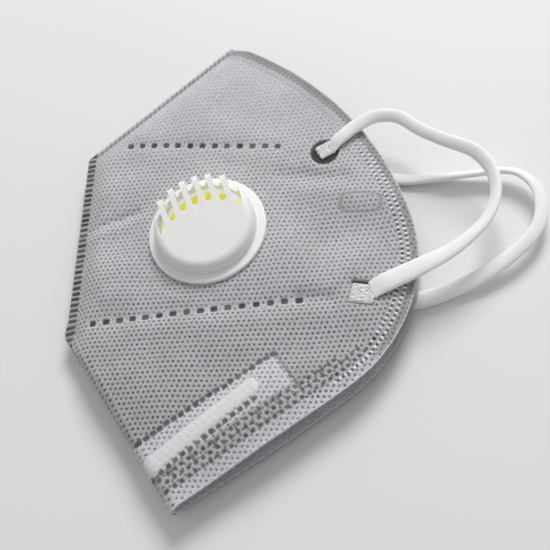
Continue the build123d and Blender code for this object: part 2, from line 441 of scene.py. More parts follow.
def edge_row(distance, pitch, start, end, phase=0.0):
    """Centres and directions of marks along the face edge, a distance in from it."""
    places = np.arange(start + phase * pitch, end, pitch)
    at = np.column_stack([np.interp(places, FACE_ALONG, FACE_EDGE[:, k]) for k in (0, 1)])
    ahead = np.column_stack([np.interp(places + 1, FACE_ALONG, FACE_EDGE[:, k]) for k in (0, 1)])
    along = ahead - at
    along /= np.maximum(np.linalg.norm(along, axis=1), 1e-6)[:, None]
    return at + distance * np.column_stack([-along[:, 1], along[:, 0]]), along


PATCH_ROW = np.array(((-16.5, -66.4), (20.9, -42.1)))
PATCH_END = np.array((28.0, -52.4))


def patch_mask(p):
    """The extra layer under the nose clip: below the row of large dots and left of its end."""
    below = -cross(unit(PATCH_ROW[1] - PATCH_ROW[0]), p - PATCH_ROW[0])
    left = -cross(unit(PATCH_END - PATCH_ROW[1]), p - PATCH_ROW[1])
    return ramp(below, -0.3, 0.6) * ramp(left, -0.3, 0.6)


def dot_mask(p):
    """Bonding points, as dimples."""
    at = p @ np.linalg.inv(DOT_STEPS)
    offset = (at - np.round(at)) @ DOT_STEPS
    return bell(np.hypot(offset[:, 0], offset[:, 1]), DOT_RADIUS)


class Emboss:
    """Height, tone (1 plain, below 1 darker, above 1 lighter) and plainness of the cover's face."""

    def __init__(self, p):
        self.p = p
        self.height = np.zeros(len(p))
        self.tone = np.ones(len(p))
        self.plain = np.zeros(len(p))

    def mark(self, mask, height, tone, plain=1.0):
        self.height += height * mask
        self.tone += (tone - self.tone) * mask
        self.plain = np.maximum(self.plain, plain * mask)

    def stamp(self, placed, half_size, height, tone, edge=0.3, uneven=0.1, share=1.0):
        """Presses marks at centres that lie along directions."""
        self.mark(stamps(self.p, *placed, half_size, edge, uneven) * share, height, tone)


NOSE_ROWS = (4.7, 6.7, 8.7)
NOSE_PITCH = 2.3
PIN_ROWS = (2.9, 4.75)
PIN_PITCH = 1.75
PIN_SIZE = (0.4, 0.46)
# Height and tone of the pins: the raised pins carry a painted highlight and the sunk ones painted shade,
# standing for the lit and shaded sides of the embossed pins.
RAISED_PIN_HIGHLIGHT, SUNK_PIN_SHADE = (0.16, 1.8), (-0.24, 0.1)
EAR_START = NOSE_EDGE_LENGTH - 6
EAR_BLEND = 14
# Painted light on the cover's cut rim: a painted highlight on the right half, whose rim faces up into the
# light, and painted shadow on the left half, whose rim lies in shade near the table.
RIM_HIGHLIGHT_AND_SHADOW = {RIGHT: 1.25, LEFT: 0.3}
BADGE_CENTRE = np.array((47.0, 4.6))
BADGE_DIRECTION = unit((1.0, -0.12))
BADGE_SIZE = (6.0, 3.0)
WELD_DIRECTION = unit((1.0, -0.22))


def embossing(side, p):
    """Everything pressed into the outer cover, apart from the marks of the two seams, and the painted light
    on it: a tone gradient and the rims' highlight and shadow.
    """
    out = Emboss(p)
    chin_part = ramp(p[:, 1], 12, 60)
    nose_part = 1 - ramp(face_place(p), NOSE_EDGE_LENGTH, NOSE_EDGE_LENGTH + EAR_BLEND)
    out.plain = 0.22 + 0.5 * chin_part - 0.22 * (1 - ramp(p[:, 1], -50, 5))
    # Painted light: the tone is a little lighter towards the chin and darker towards the nose, in place of
    # the light that falls off from the chin end to the nose end.
    out.tone = 1 + 0.06 * chin_part - 0.16 * (1 - ramp(p[:, 1], -60, 0))
    out.mark(patch_mask(p), 0.3, 1.22, 0.25)
    edge_margins(out, nose_part, chin_part)
    ear_pins(out)
    nose_rows(out, nose_part)
    # Painted highlight on the right half's rim, painted shadow on the left half's rim.
    out.mark(1 - ramp(face_distance(p), 0.1, 0.55), 0.0, RIM_HIGHLIGHT_AND_SHADOW[side])
    large_rows(out)
    badge_emboss(out)
    weld_emboss(out)
    return out


def edge_margins(out, nose_part, chin_part):
    """Pressed margins of the face edge: an outer and an inner one at the ear, one at the nose."""
    face = face_distance(out.p)
    past_margin = ramp(face - 2.0 - 1.1 * chin_part, 0.0, 0.6)
    out.mark((1 - past_margin) * (1 - nose_part), -0.1, 0.68 - 0.14 * chin_part, 0.3)
    out.mark(past_margin * (1 - ramp(face, 5.2, 5.8)) * (1 - nose_part), -0.1, 0.86, 0.9)
    out.mark((1 - ramp(face, 3.2, 4.0)) * nose_part, -0.05, 1.18, 0.0)


def ear_pins(out):
    """Two rows of pins along the ear edge, raised ones with a painted highlight and sunk ones with painted
    shade, fainter to the chin, and small marks outside.
    """
    fade = 1 - 0.88 * ramp(out.p[:, 1], 6, 44)
    for number, distance in enumerate(PIN_ROWS):
        for shift, (height, tone) in enumerate((RAISED_PIN_HIGHLIGHT, SUNK_PIN_SHADE)):
            pins = edge_row(distance, PIN_PITCH, EAR_START, FACE_LENGTH - 4, 0.5 * (number + shift))
            out.stamp(pins, PIN_SIZE, height, tone, 0.2, share=fade)
    out.stamp(edge_row(1.4, 1.3, EAR_START, FACE_LENGTH - 3), (0.3, 0.3), -0.08, 0.45, share=0.7)


def nose_rows(out, nose_part):
    """A darker band along the nose edge with rows of square marks and a row of joined ones."""
    face = face_distance(out.p)
    out.mark(ramp(face, 3.4, 4.2) * (1 - ramp(face, 9.6, 10.4)) * nose_part, -0.12, 0.88, 0.0)
    for number, distance in enumerate(NOSE_ROWS):
        end = NOSE_EDGE_LENGTH + EAR_BLEND - 7 * number
        marks = edge_row(distance, NOSE_PITCH, 2.5, end, 0.5 * (number % 2))
        out.stamp(marks, (0.6, 0.56), -0.3, 0.15, 0.4, 0.08)
    joined_marks = edge_row(7.7, 3 * NOSE_PITCH, 6, NOSE_EDGE_LENGTH - 6)
    out.stamp(joined_marks, (0.4, 1.5), -0.2, 0.3, 0.4, 0.12)


def large_rows(out):
    """Rows of large square dots: beside the two creases, round the patch and under the nose clip."""
    for ends, count, size in ((CHIN_ROW, 13, (1.0, 0.85)), (NOSE_ROW, 16, (1.05, 0.85))):
        out.stamp(row(*ends, count), (size[0] + 0.7, size[1] + 0.6), -0.12, 1.08, 0.9)
        # The near-black tone of these large dots and of the patch row is partly the pressed marks' own colour
        # and partly painted shade in their pits.
        out.stamp(row(*ends, count), size, -0.4, 0.09, 0.3, 0.06)
    out.stamp(row(*PATCH_ROW, 20), (0.92, 0.85), -0.38, 0.09, 0.4)
    centres, along = row(PATCH_ROW[1], PATCH_END, 8)
    out.stamp((centres[1:], along), (0.6, 0.6), -0.2, 0.36, 0.5, 0.2)
    out.stamp(row(*CLIP_ROW, 15), (0.8, 0.74), -0.3, 0.17, 0.42)


def badge_emboss(out):
    """A plain embossed oblong on the ear side of the valve."""
    offset = (out.p - BADGE_CENTRE) @ np.column_stack([BADGE_DIRECTION, turned(BADGE_DIRECTION)])
    u, v = (np.abs(offset) / BADGE_SIZE).T
    size = (u**4 + v**4) ** 0.25
    out.mark(bell((size - 1) * BADGE_SIZE[1], 0.32), -0.14, 0.66)


def weld_emboss(out):
    """Pressed wells of the ear loop's two welds, with painted shade in a near-black slot along the top of the
    nose weld's pressed end.
    """
    away = np.hypot(*(out.p - CHIN_WELD - (-0.2, -0.7)).T)
    grain = 0.07 + 0.09 * np.sin(out.p[:, 0] * 4.3) * np.sin(out.p[:, 1] * 5.1)
    out.mark(1 - ramp(away, 4.1, 4.8), -0.6, grain)
    turn = np.column_stack([WELD_DIRECTION, turned(WELD_DIRECTION)])
    u, v = ((out.p - NOSE_WELD) @ turn).T
    out.mark((1 - ramp(np.abs(u - 0.5), 3.4, 4.2)) * (1 - ramp(np.abs(v), 2.9, 3.7)), -0.3, 0.55)
    # Painted shade: a near-black slot along the top of the pressed end, where shade falls; only its shallow
    # dip is real.
    out.mark((1 - ramp(np.abs(u - 0.3), 3.2, 4.2)) * bell(v - 3.6, 0.8), -0.7, 0.02)


# ---------------------------------------------------------------- puckers, by cloth simulation

RELIEF_STEP = 2.0
RELIEF_HEIGHT = 1.0
SIM_SCALE = 0.01  # simulated at ten times real size, where the solver's contact distances are small
SIM_FRAMES = 24
SMOOTHING_ROUNDS = 3
LOOSE_HOLD = 0.08


def held_share(p):
    """1 where the stack is welded, folded or clamped, small where only the wadding holds the cover."""
    seams = np.minimum(front_distance(p), chin_distance(p)) - 2
    held = 1 - ramp(np.minimum.reduce([face_distance(p), nose_distance(p), seams]), 2.0, 5.0)
    held = np.maximum(held, 1 - ramp(np.hypot(p[:, 0], p[:, 1]), VALVE_FLAT - 1, VALVE_FLAT + 2))
    for weld in (CHIN_WELD, NOSE_WELD):
        held = np.maximum(held, 1 - ramp(np.hypot(*(p - weld).T), 4, 7))
    for line_ends in (CHIN_ROW, NOSE_ROW, PATCH_ROW, (PATCH_ROW[1], PATCH_END)):
        held = np.maximum(held, 1 - ramp(segment_distance(p, *line_ends), 0.8, 2.2))
    return LOOSE_HOLD + (1 - LOOSE_HOLD) * held


def simulated_relief():
    """Height of the puckers on a plan grid: a sheet a little too large for its welds, on soft wadding."""
    xs = np.arange(GRID_LOW[0], HULL[:, 0].max() + 6, RELIEF_STEP)
    ys = np.arange(GRID_LOW[1], HULL[:, 1].max() + 6, RELIEF_STEP)
    grid = np.stack(np.meshgrid(xs, ys), axis=-1).reshape(-1, 2)
    ids, quads = grid_quads(len(ys), len(xs))
    start = np.column_stack([grid, np.random.default_rng(4).normal(0, 0.1, len(grid))]) * SIM_SCALE
    mesh = bpy.data.meshes.new("relief")
    mesh.from_pydata(start.tolist(), [], quads.tolist())
    sheet = bpy.data.objects.new("relief", mesh)
    bpy.context.scene.collection.objects.link(sheet)
    pins = sheet.vertex_groups.new(name="held")
    for index, share in enumerate(held_share(grid)):
        pins.add([index], float(share), "REPLACE")
    cloth = sheet.modifiers.new("cloth", "CLOTH")
    cloth.settings.quality = 6
    cloth.settings.shrink_min = -0.02
    cloth.settings.bending_stiffness = 6.0
    cloth.settings.vertex_group_mass = "held"
    cloth.settings.pin_stiffness = 0.6
    cloth.settings.effector_weights.gravity = 0.0
    cloth.point_cache.frame_end = SIM_FRAMES
    for frame_number in range(1, SIM_FRAMES + 1):
        bpy.context.scene.frame_set(frame_number)
    settled = sheet.evaluated_get(bpy.context.evaluated_depsgraph_get()).data
    height = np.array([v.co.z for v in settled.vertices]).reshape(ids.shape) / SIM_SCALE
    bpy.data.objects.remove(sheet)
    bpy.data.meshes.remove(mesh)
    bpy.context.scene.frame_set(1)
    for _ in range(SMOOTHING_ROUNDS):
        height[1:-1] = (height[:-2] + 2 * height[1:-1] + height[2:]) / 4
        height[:, 1:-1] = (height[:, :-2] + 2 * height[:, 1:-1] + height[:, 2:]) / 4
    return height * RELIEF_HEIGHT / np.percentile(np.abs(height), 98)


RELIEF = simulated_relief()


# ---------------------------------------------------------------- plans of the panels


def crease_split(corner, crease, side_sign):
    """Where the centre panel ends: a line that leaves the corner and runs beside the crease."""
    aside = turned(crease) * side_sign * CREASE_HALF
    reach = CREASE_HALF / CREASE_SPREAD
    path = np.array((corner, corner + crease * reach + aside, corner + crease * PAST_EDGE + aside))
    path = resampled_corners(path, EDGE_STEP)
    inside = face_distance(path) > 0
    cut = int(np.argmin(inside)) if not inside.all() else len(path)
    path = path[:cut]
    gap = face_distance(path[-2:])
    end = path[-1] + (path[-1] - path[-2]) * (gap[1] / max(gap[0] - gap[1], 1e-6))
    if np.linalg.norm(end - path[-1]) < 0.15:
        path = path[:-1]
    return np.vstack([path, end])


def resampled_corners(path, step):
    """Even steps along each straight of a path, with its corners kept."""
    parts = [resampled(np.array(pair), step)[:-1] for pair in zip(path, path[1:])]
    return np.vstack(parts + [np.asarray(path)[-1:]])


NOSE_SPLIT = crease_split(NOSE_CORNER, NOSE_CREASE, 1)
CHIN_SPLIT = crease_split(CHIN_CORNER, CHIN_CREASE, -1)


def face_between(start, end, step):
    """The face edge between two points on it, ends included."""
    first, last = (float(face_place(np.array([q]))[0]) for q in (start, end))
    places = np.linspace(first, last, max(2, int(round(abs(last - first) / step)) + 1))[1:-1]
    middle = np.column_stack([np.interp(places, FACE_ALONG, FACE_EDGE[:, k]) for k in (0, 1)])
    return np.vstack([[start], middle, [end]])


def seam_inner_end():
    """Where the chin seam's inner edge meets the face edge."""
    path = resampled(np.array((CHIN_CORNER, CHIN_CORNER - CHIN_DIRECTION * 90)), 0.2)
    return path[int(np.argmin(face_distance(path) > 0))]


CHIN_INNER_END = seam_inner_end()


def joined(*paths):
    """A closed boundary from paths that follow one another."""
    points = np.vstack(paths)
    keep = np.linalg.norm(points - np.roll(points, 1, axis=0), axis=1) > 0.05
    return points[keep]


def line(a, b, step=EDGE_STEP):
    return resampled(np.array((a, b)), step)


PANELS = {
    "nose": joined(
        line(NOSE_CORNER, NOSE_TIP), face_between(NOSE_TIP, NOSE_SPLIT[-1], EDGE_STEP), NOSE_SPLIT[::-1]
    ),
    "centre": joined(
        NOSE_SPLIT, face_between(NOSE_SPLIT[-1], CHIN_SPLIT[-1], EDGE_STEP), CHIN_SPLIT[::-1],
        line(CHIN_CORNER, NOSE_CORNER),
    ),
    "chin": joined(
        CHIN_SPLIT, face_between(CHIN_SPLIT[-1], CHIN_INNER_END, EDGE_STEP), line(CHIN_INNER_END, CHIN_CORNER)
    ),
}
FRONT_STRIP = joined(
    line(FRONT_LOW, NOSE_CORNER), line(NOSE_CORNER, CHIN_CORNER), line(CHIN_CORNER, SEAM_TOP),
    line(SEAM_TOP, FRONT_HIGH), line(FRONT_HIGH, FRONT_LOW),
)
CHIN_STRIP = joined(
    line(SEAM_TOP, CHIN_CORNER), line(CHIN_CORNER, CHIN_INNER_END),
    face_between(CHIN_INNER_END, CHIN_TIP, EDGE_STEP), line(CHIN_TIP, SEAM_TOP),
)


def clip_plan():
    """Centre, direction and half sizes of the nose clip's arm in plan."""
    points = node_points("right_nose_clip_arm")
    centre = (points.min(0) + points.max(0)) / 2
    direction = unit(np.linalg.svd(points - points.mean(0), full_matrices=False)[2][0])
    direction = direction if direction[0] > 0 else -direction
    spread = (points - centre) @ np.column_stack([direction, turned(direction)])
    return centre, direction, (spread.max(0) - spread.min(0)) / 2


CLIP_CENTRE, CLIP_DIRECTION, CLIP_HALF = clip_plan()
CLIP_DROP = turned(CLIP_DIRECTION) * (CLIP_HALF[1] + 1.3)
CLIP_ROW = (
    CLIP_CENTRE - CLIP_DIRECTION * CLIP_HALF[0] * 0.9 - CLIP_DROP,
    CLIP_CENTRE + CLIP_DIRECTION * CLIP_HALF[0] * 0.95 - CLIP_DROP,
)


def clipped(polygon, point, normal, distance):
    """The part of a polygon at least a distance along normal from a line through point."""
    away = (polygon - point) @ normal - distance
    kept = []
    for q, r, gap, next_gap in zip(polygon, np.roll(polygon, -1, axis=0), away, np.roll(away, -1)):
        if gap >= 0:
            kept.append(q)
        if (gap >= 0) != (next_gap >= 0):
            kept.append(q + (r - q) * gap / (gap - next_gap))
    return np.array(kept)


def inset(boundary, distance):
    """A boundary cut back from the seams, the fold and the face edge, but not from a crease."""
    p = clipped(boundary, FRONT_LOW, np.array((1.0, 0.0)), distance + HINGE_X - FRONT_X)
    p = clipped(p, CHIN_TIP, turned(CHIN_DIRECTION), distance + CHIN_SEAM_WIDTH)
    p = clipped(p, FRONT_LOW, turned(NOSE_DIRECTION), distance)
    for a, b in zip(FACE_EDGE[::4], FACE_EDGE[4::4]):
        p = clipped(p, a, turned(unit(b - a)), distance)
    p = resampled_corners(np.vstack([p, p[:1]]), EDGE_STEP * 3)[:-1]
    gaps = np.linalg.norm(p - np.roll(p, 1, axis=0), axis=1)
    return p[gaps > 0.3]


def inside_polygon(p, polygon):
    """Which points lie inside a closed boundary."""
    inside = np.zeros(len(p), bool)
    for a, b in zip(polygon, np.roll(polygon, -1, axis=0)):
        crosses = (a[1] > p[:, 1]) != (b[1] > p[:, 1])
        rise = b[1] - a[1] if abs(b[1] - a[1]) > 1e-12 else 1e-12
        inside ^= crosses & (p[:, 0] < (b[0] - a[0]) * (p[:, 1] - a[1]) / rise + a[0])
    return inside


def boundary_distance(p, polygon):
    """Distance to the nearest point of a finely stepped boundary, only right when it is small."""
    cell = 1.0
    near = np.full(len(p), 9.0)
    keys = {}
    for k, q in enumerate(np.floor(polygon / cell).astype(int)):
        keys.setdefault((q[0], q[1]), []).append(k)
    cells = np.floor(p / cell).astype(int)
    close = {}
    for (i, j), members in keys.items():
        for di in (-1, 0, 1):
            for dj in (-1, 0, 1):
                close.setdefault((i + di, j + dj), []).extend(members)
    order = np.lexsort((cells[:, 1], cells[:, 0]))
    ordered = cells[order]
    breaks = np.flatnonzero(np.any(np.diff(ordered, axis=0) != 0, axis=1)) + 1
    for group in np.split(order, breaks):
        members = close.get(tuple(cells[group[0]]))
        if members:
            gaps = np.linalg.norm(p[group][:, None] - polygon[members][None], axis=2)
            near[group] = gaps.min(axis=1)
    return near


def fill_points(polygon, steps, clear, hole=None):
    """Points of a lattice inside a boundary, clear of it."""
    corners = polygon @ np.linalg.inv(steps)
    low, high = np.floor(corners.min(0)).astype(int), np.ceil(corners.max(0)).astype(int)
    i, j = np.meshgrid(np.arange(low[0], high[0] + 1), np.arange(low[1], high[1] + 1))
    p = np.column_stack([i.ravel(), j.ravel()]) @ steps
    p = p[inside_polygon(p, polygon)]
    if hole:
        p = p[np.hypot(p[:, 0], p[:, 1]) > hole + clear]
    return p[boundary_distance(p, polygon) > clear]


def circle(radius, count):
    turn = -np.linspace(0, 2 * math.pi, count, endpoint=False)
    return radius * np.column_stack([np.cos(turn), np.sin(turn)])


def triangulated(rings, inner):
    """Points and triangles of a region: the first ring bounds it, a second one is a hole."""
    points = np.vstack(rings + [inner])
    edges = []
    start = len(rings[0])
    for ring in rings[1:]:
        edges += [(start + k, start + (k + 1) % len(ring)) for k in range(len(ring))]
        start += len(ring)
    outer = [list(range(len(rings[0])))]
    found = delaunay_2d_cdt([Vector(q) for q in points.tolist()], edges, outer, 1, 1e-7)
    if len(found[0]) != len(points):
        raise ValueError("a boundary crosses itself")
    faces = np.array(found[2])
    middle = points[faces].mean(axis=1)
    if len(rings) > 1:
        faces = faces[np.hypot(middle[:, 0], middle[:, 1]) > np.hypot(*rings[1][0])]
    a, b, c = (points[faces[:, k]] for k in range(3))
    flipped = cross(b - a, c - a) < 0
    faces[flipped] = faces[flipped][:, ::-1]
    return points, faces


# ---------------------------------------------------------------- meshes


def mesh_object(name, points, faces, attributes=None, flip=False):
    """A smooth-shaded mesh from millimetre points and lists of face corners."""
    faces = [np.asarray(group)[:, ::-1] if flip else np.asarray(group) for group in faces if len(group)]
    mesh = bpy.data.meshes.new(name)
    sizes = np.concatenate([np.full(len(group), group.shape[1]) for group in faces])
    corners = np.concatenate([group.ravel() for group in faces]).astype(np.int32)
    mesh.vertices.add(len(points))
    mesh.vertices.foreach_set("co", (points * MM).astype(np.float32).ravel())
    mesh.loops.add(len(corners))
    mesh.loops.foreach_set("vertex_index", corners)
    mesh.polygons.add(len(sizes))
    mesh.polygons.foreach_set("loop_start", np.concatenate(([0], np.cumsum(sizes)[:-1])).astype(np.int32))
    mesh.polygons.foreach_set("loop_total", sizes.astype(np.int32))
    mesh.update(calc_edges=True)
    mesh.polygons.foreach_set("use_smooth", np.ones(len(sizes), bool))
    for key, values in (attributes or {}).items():
        kind = "FLOAT_VECTOR" if values.ndim == 2 else "FLOAT"
        field = mesh.attributes.new(key, kind, "POINT")
        field.data.foreach_set("vector" if values.ndim == 2 else "value", values.astype(np.float32).ravel())
    mesh.validate()
    obj = bpy.data.objects.new(name, mesh)
    bpy.context.scene.collection.objects.link(obj)
    return obj


def mark_sharp(obj, rims):
    """Marks the edges that run along a rim, so that a face and its cut edge shade apart."""
    mesh = obj.data
    on_rim = np.full(len(mesh.vertices), -1)
    for number, rim in enumerate(rims):
        on_rim[rim] = number
    ends = np.zeros(len(mesh.edges) * 2, np.int32)
    mesh.edges.foreach_get("vertices", ends)
    ends = on_rim[ends.reshape(-1, 2)]
    sharp = (ends[:, 0] >= 0) & (ends[:, 0] == ends[:, 1])
    field = mesh.attributes.get("sharp_edge") or mesh.attributes.new("sharp_edge", "BOOLEAN", "EDGE")
    field.data.foreach_set("value", sharp)


def two_sided_sheet(name, rings, upper_fill, lower_fill, place_upper, place_lower, tones=None, flip=False):
    """A closed thin sheet: an upper and a lower skin over the same boundary, joined by its cut edge.

    tones holds pairs of point values, for the upper skin and for the lower one.
    """
    upper, upper_faces = upper_fill
    lower, lower_faces = lower_fill
    top = place_upper(upper)
    bottom = place_lower(lower)
    shift = len(upper)
    walls = []
    start = 0
    rims = []
    for ring in rings:
        ids = np.arange(start, start + len(ring))
        ahead = np.roll(ids, -1)
        walls.append(np.column_stack([ids, ids + shift, ahead + shift, ahead]))
        rims += [ids, ids + shift]
        start += len(ring)
    rest = np.vstack([upper, lower])
    attributes = {"rest": np.column_stack([rest, np.zeros(len(rest))])}
    for key, (above, below) in (tones or {}).items():
        attributes[key] = np.concatenate(
            [np.broadcast_to(above, len(upper)), np.broadcast_to(below, len(lower))]
        )
    faces = [upper_faces, lower_faces[:, ::-1] + shift, np.vstack(walls)]
    obj = mesh_object(name, np.vstack([top, bottom]), faces, attributes, flip)
    mark_sharp(obj, rims)
    return obj


def plan_steps(step):
    return np.array(((step, 0.0), (step / 2, step * 0.87)))


CACHE = {}
CORE_INSET = 5.6
HOLE_STEPS = (180, 90)


def panel_fill(side, panel, kind):
    """Rings and triangulation of one panel; only the right centre panel has the valve's hole."""
    hole = VALVE_HOLE if panel == "centre" and side == RIGHT else None
    key = (panel, kind, hole, FINE_DIVISIONS[side] if kind == "fine" else 0)
    if key not in CACHE:
        boundary = inset(PANELS[panel][::3], CORE_INSET) if kind == "core" else PANELS[panel]
        rings = [boundary] + ([circle(hole, HOLE_STEPS[kind == "core"])] if hole else [])
        steps, clear = {
            "fine": (DOT_STEPS / FINE_DIVISIONS[side], 0.17),
            "lining": (plan_steps(LINING_STEP), 0.5),
            "coarse": (plan_steps(COARSE_STEP), 0.8),
            "core": (plan_steps(COARSE_STEP), 0.8),
        }[kind]
        CACHE[key] = rings, triangulated(rings, fill_points(boundary, steps, clear, hole))
    return CACHE[key]


def at_depth(side, depth):
    """A skin at a depth below the cover's face; depth gives the millimetres at plan points."""

    def place(p):
        here, normal = outward(side, p)
        return here - normal * depth(p)[:, None]

    return place


def constant(value):
    return lambda p: np.full(len(p), value)


def cover_sheet(side, panel):
    """One panel of the outer cover, with its dimples and pressed marks as real depth."""
    rings, fine = panel_fill(side, panel, "fine")
    coarse = panel_fill(side, panel, "coarse")[1]
    marks = embossing(side, fine[0])
    seam = ramp(seam_rise(fine[0]), 0.05, 0.5)
    dots = dot_mask(fine[0]) * (1 - marks.plain)
    relief = (marks.height - DOT_DEPTH * dots) * seam

    def place_upper(p):
        here, normal = outward(side, p)
        return here + normal * relief[:, None]

    name = f"{SIDE_NAMES[side]}_{panel}_outer_cover"
    tones = {"tone": (marks.tone, 1.0), "plain": (marks.plain, 0.0)}
    return two_sided_sheet(
        f"{name}_sheet", rings, fine, coarse, place_upper, at_depth(side, cover_depth), tones, side == LEFT
    )


def cover_depth(p):
    """Depth of the cover's inner skin: deeper in the body, where its embossing is deep."""
    body = COVER_THICKNESS + (COTTON_DEPTH - LAYER_GAP - COVER_THICKNESS) * seam_rise(p)
    return np.minimum(body, stack_thickness(p) - LINING_THICKNESS - LAYER_GAP)


def lining_depth(p):
    return stack_thickness(p) - LINING_THICKNESS


def filter_depth(p):
    return lining_depth(p) - FILTER_THICKNESS


# Depths of each hidden layer's outer and inner skins below the cover's face.
LAYER_DEPTHS = {
    "inner_lining": (lining_depth, stack_thickness),
    "filter_layer": (filter_depth, lambda p: lining_depth(p) - LAYER_GAP),
    "cotton_layer": (constant(COTTON_DEPTH), lambda p: filter_depth(p) - LAYER_GAP),
}


def hidden_sheet(side, panel, layer):
    upper_kind, lower_kind = ("coarse", "lining") if layer == "inner_lining" else ("core", "core")
    rings, upper = panel_fill(side, panel, upper_kind)
    lower = panel_fill(side, panel, lower_kind)[1]
    outer, inner = LAYER_DEPTHS[layer]
    name = f"{SIDE_NAMES[side]}_{panel}_{layer}_sheet"
    return two_sided_sheet(
        name, rings, upper, lower, at_depth(side, outer), at_depth(side, inner), flip=side == LEFT
    )


def crease_weight(obj):
    """Reads the rest positions of a panel's points; nothing is done with them."""
    rest = np.zeros(len(obj.data.vertices) * 3, np.float32)
    obj.data.attributes["rest"].data.foreach_get("vector", rest)


def hang(obj, side, panel):
    """Puts a centre panel's piece on its body; a nose or chin piece only gets its transform baked into its
    points.
    """
    centre = f"{SIDE_NAMES[side]}_centre"
    if panel == "centre":
        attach(obj, centre)
        return
    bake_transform(obj)
    crease_weight(obj)


# ---------------------------------------------------------------- seams


SEAM_MARK_DEPTH = 0.24
SEAM_MARK_PITCH = 1.9


def seam_strip(name, boundary, marks, plain_tone, groove=None):
    """A welded strip of both halves: two embossed skins, one on each side of the fold plane.

    groove gives the share of its height that the right skin keeps, where the right half turns against it.
    """
    fill = triangulated([boundary], fill_points(boundary, plan_steps(0.32), 0.2))
    mask = marks(fill[0])
    tone = plain_tone - 0.95 * mask

    def face(side):
        def place(p):
            here, normal = outward(side, p)
            placed = here - normal * (SEAM_MARK_DEPTH * mask)[:, None]
            if groove and side == RIGHT:
                placed[:, 2] *= groove(p)
            return placed

        return place

    tones = {"tone": (tone, tone), "plain": (1.0, 1.0)}
    return two_sided_sheet(name, [boundary], fill, fill, face(RIGHT), face(LEFT), tones)


def front_marks(p):
    """Bars across the front seam."""
    middle = (FRONT_X + HINGE_X) / 2
    ys = np.arange(FRONT_LOW[1] - 1.5, FRONT_HIGH[1] + 1, SEAM_MARK_PITCH)
    centres = np.column_stack([np.full(len(ys), middle), ys])
    return stamps(p, centres, unit((1.0, 0.12)), (1.4, 0.6), 0.25)


def chin_marks(p):
    """Slanted oval marks along the chin seam."""
    middle = (SEAM_TOP + CHIN_CORNER) / 2
    count = int(np.linalg.norm(CHIN_TIP - middle) / SEAM_MARK_PITCH)
    centres = [middle - CHIN_DIRECTION * SEAM_MARK_PITCH * k for k in range(count)]
    return 0.85 * stamps(p, centres, unit((0.25, 1.0)), (0.85, 0.42), 0.25)


def front_strip():
    """The front seam's strip, which is the hinge."""
    obj = seam_strip("front_seam_weld_strip", FRONT_STRIP, front_marks, 1.0)
    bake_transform(obj)
    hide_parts("front_seam_weld")
    return obj


GROOVE = (0.5, 1.3)


def chin_groove(p):
    """Bevels the strip beside the right chin panel, which swings on this line when the mask opens."""
    return 1.06 * ramp(CHIN_SEAM_WIDTH - chin_distance(p), *GROOVE) - 0.06


def chin_strip():
    """The chin seam's strip rides on the left half, because no joint joins the two chin panels."""
    # Painted light: the chin strip's plain tone, 1.55 against the front strip's 1.0, lightens it against the
    # shade that the raised panel beside it throws on it.
    obj = seam_strip("chin_seam_weld_strip", CHIN_STRIP, chin_marks, 1.55, chin_groove)
    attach(obj, "left_chin")
    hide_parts("chin_seam_weld")
    return obj


# ---------------------------------------------------------------- nose clip

CLIP_RISE = 0.34
CLIP_START = 0.5
CLIP_ROUNDING = 1.0
CLIP_LENGTH = CLIP_HALF[0] + 3.5
CLIP_WIDTH = CLIP_HALF[1] * 1.14


def clip_boundary():
    """Strip from the nose fold to its rounded end."""
    side = turned(CLIP_DIRECTION) * CLIP_WIDTH
    end = CLIP_CENTRE + CLIP_DIRECTION * CLIP_LENGTH
    starts = []
    for offset in (-side, side):
        base = CLIP_CENTRE + offset
        speed = cross(NOSE_DIRECTION, CLIP_DIRECTION)
        starts.append(base - CLIP_DIRECTION * ((nose_distance(base[None])[0] - CLIP_START) / speed))
    turn = np.linspace(-math.pi / 2, math.pi / 2, 13)
    back = CLIP_ROUNDING * (1 - np.cos(turn))
    aside = np.copysign(np.abs(np.sin(turn)) ** 0.4, turn)
    cap = end - back[:, None] * CLIP_DIRECTION + aside[:, None] * side
    return joined(
        line(starts[0], cap[0]), resampled(cap, EDGE_STEP),
        line(cap[-1], starts[1]), line(starts[1], starts[0]),
    )


def clip_arm(side):
    """One arm of the nose clip: a crowned strip on the cover."""
    boundary = clip_boundary()
    fill = triangulated([boundary], fill_points(boundary, plan_steps(0.4), 0.2))

    def place_upper(p):
        here, normal = outward(side, p)
        across = np.abs((p - CLIP_CENTRE) @ turned(CLIP_DIRECTION)) / CLIP_WIDTH
        along = ((p - CLIP_CENTRE) @ CLIP_DIRECTION) / CLIP_LENGTH
        crown = np.clip(1 - np.clip(across, 0, 1) ** 2.6, 0, 1) * (1 - ramp(along, 0.9, 1.0))
        dents = 0.05 * np.sin(p[:, 0] * 2.1) * np.sin(p[:, 1] * 2.6)
        clear_of_fold = ramp(nose_distance(p), CLIP_START - 0.2, CLIP_START + 1.6)
        return here + normal * ((0.12 + (CLIP_RISE + dents) * crown) * clear_of_fold)[:, None]

    name = f"{SIDE_NAMES[side]}_nose_clip_arm"
    place_lower = at_depth(side, constant(-0.1))
    obj = two_sided_sheet(
        f"{name}_strip", [boundary], fill, fill, place_upper, place_lower, flip=side == LEFT
    )
    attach(obj, f"{SIDE_NAMES[side]}_nose")
    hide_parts(name)
    return obj


# ---------------------------------------------------------------- ear loops

BAND_WIDTH = 4.1
BAND_THICKNESS = 2.1
BAND_CORNERS = 48
